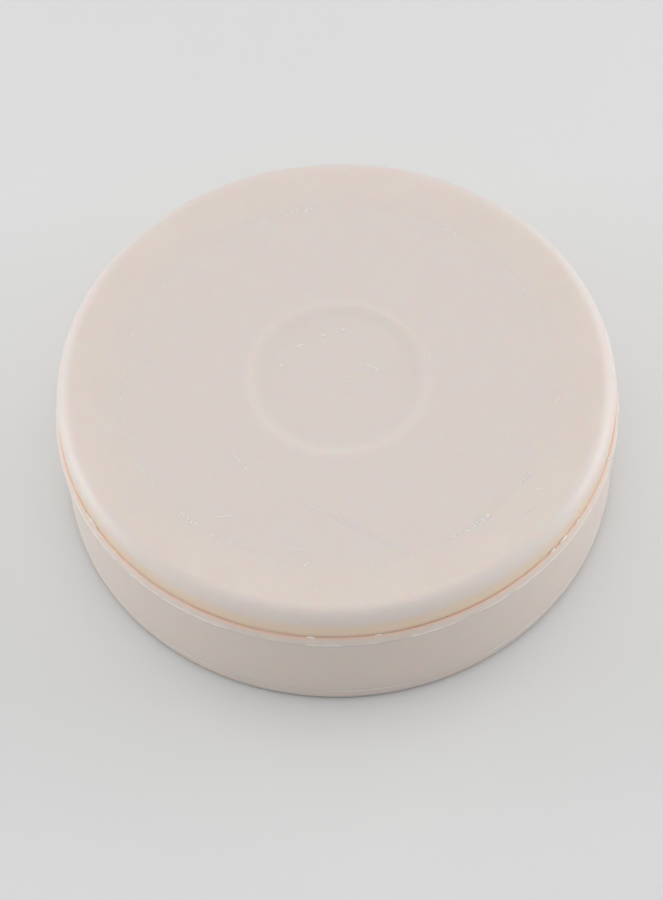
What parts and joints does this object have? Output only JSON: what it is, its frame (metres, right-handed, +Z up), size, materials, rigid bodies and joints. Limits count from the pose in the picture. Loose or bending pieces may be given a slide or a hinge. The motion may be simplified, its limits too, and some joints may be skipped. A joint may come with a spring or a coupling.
{
  "type": "shaving soap puck",
  "caption": "Round pressed puck of hard shaving soap with a shallow central dish, rounded top edge and thin flash lines round its wall.",
  "frame": {"origin": "middle of the flat base, on the surface that the puck rests on", "axes": "+Z up through the dished top face; the puck is round about Z, and its upper die marks sit a little towards +X"},
  "size_m": [0.076, 0.076, 0.021],
  "materials": {
    "soap": "waxy, slightly translucent hard soap with a soft low sheen",
    "dry_flash": "dry chalky soap skin",
    "soap_crumb": "dry white soap crumb"
  },
  "bodies": {
    "root": {"soap_puck": "soap", "upper_flash": "dry_flash", "lower_flash": "dry_flash", "rim_scraps": "dry_flash", "loose_crumbs": "soap_crumb"}
  },
  "joints": []
}
